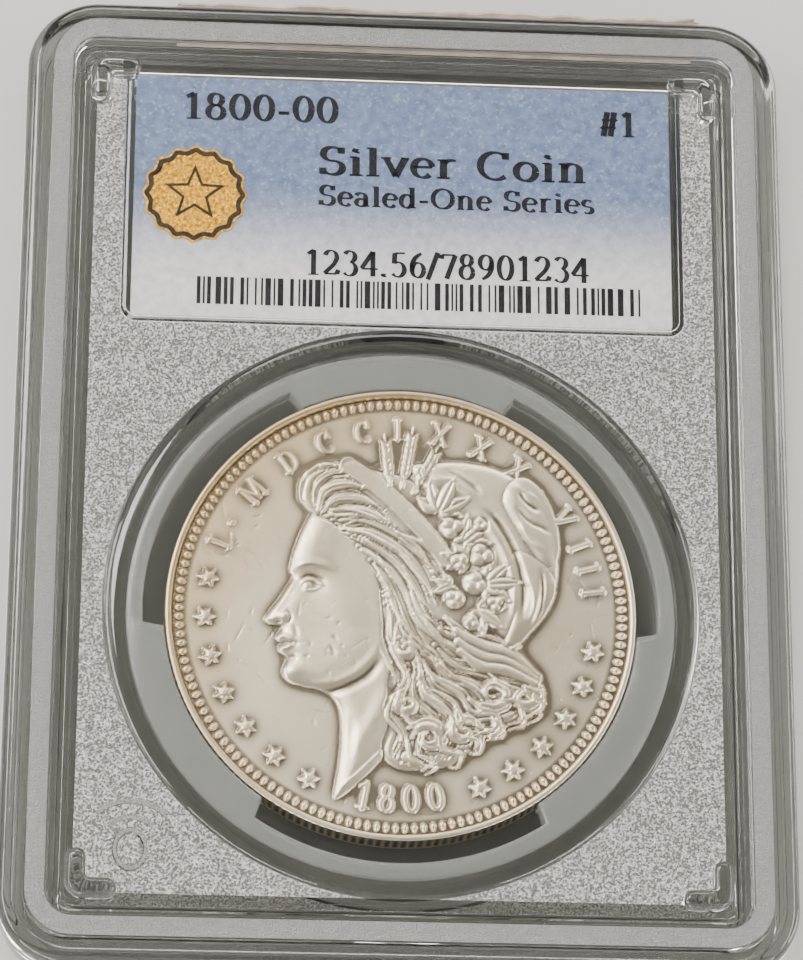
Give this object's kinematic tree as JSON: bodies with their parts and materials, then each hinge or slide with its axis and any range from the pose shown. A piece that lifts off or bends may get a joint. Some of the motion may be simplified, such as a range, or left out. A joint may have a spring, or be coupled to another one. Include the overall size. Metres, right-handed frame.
{
  "type": "graded coin slab",
  "caption": "Clear welded case holding a large silver coin in a window gasket, with a printed label, foil seal and contactless tag sealed above it.",
  "frame": {"origin": "middle of the bounding box's base, on the back rim's rest plane", "axes": "+Z out of the front face, +Y up the slab towards the label, +X to the right as the label is read"},
  "size_m": [0.0634, 0.084, 0.0079],
  "materials": {
    "front_plastic": "clear, gloss, with frosted panel and rim",
    "back_plastic": "clear, gloss, with frosted panel and rim",
    "ring_plastic": "clear, satin",
    "coin_silver": "struck silver, frosted lustre with light toning",
    "front_paper": "printed, matte",
    "gold_foil": "glitter foil",
    "back_paper": "printed, matte",
    "silver_foil": "embossed foil",
    "tag_film": "translucent film",
    "tag_metal": "etched foil track",
    "tag_chip": "moulded, matte",
    "paper_tape": "torn, matte"
  },
  "bodies": {
    "root": {"front_shell": "front_plastic", "back_shell": "back_plastic", "coin_ring": "ring_plastic", "coin": "coin_silver", "front_label": "front_paper", "label_seal": "gold_foil", "back_label": "back_paper", "back_foil": "silver_foil", "nfc_film": "tag_film", "nfc_antenna": "tag_metal", "nfc_chip": "tag_chip", "edge_strip": "paper_tape"}
  },
  "joints": []
}
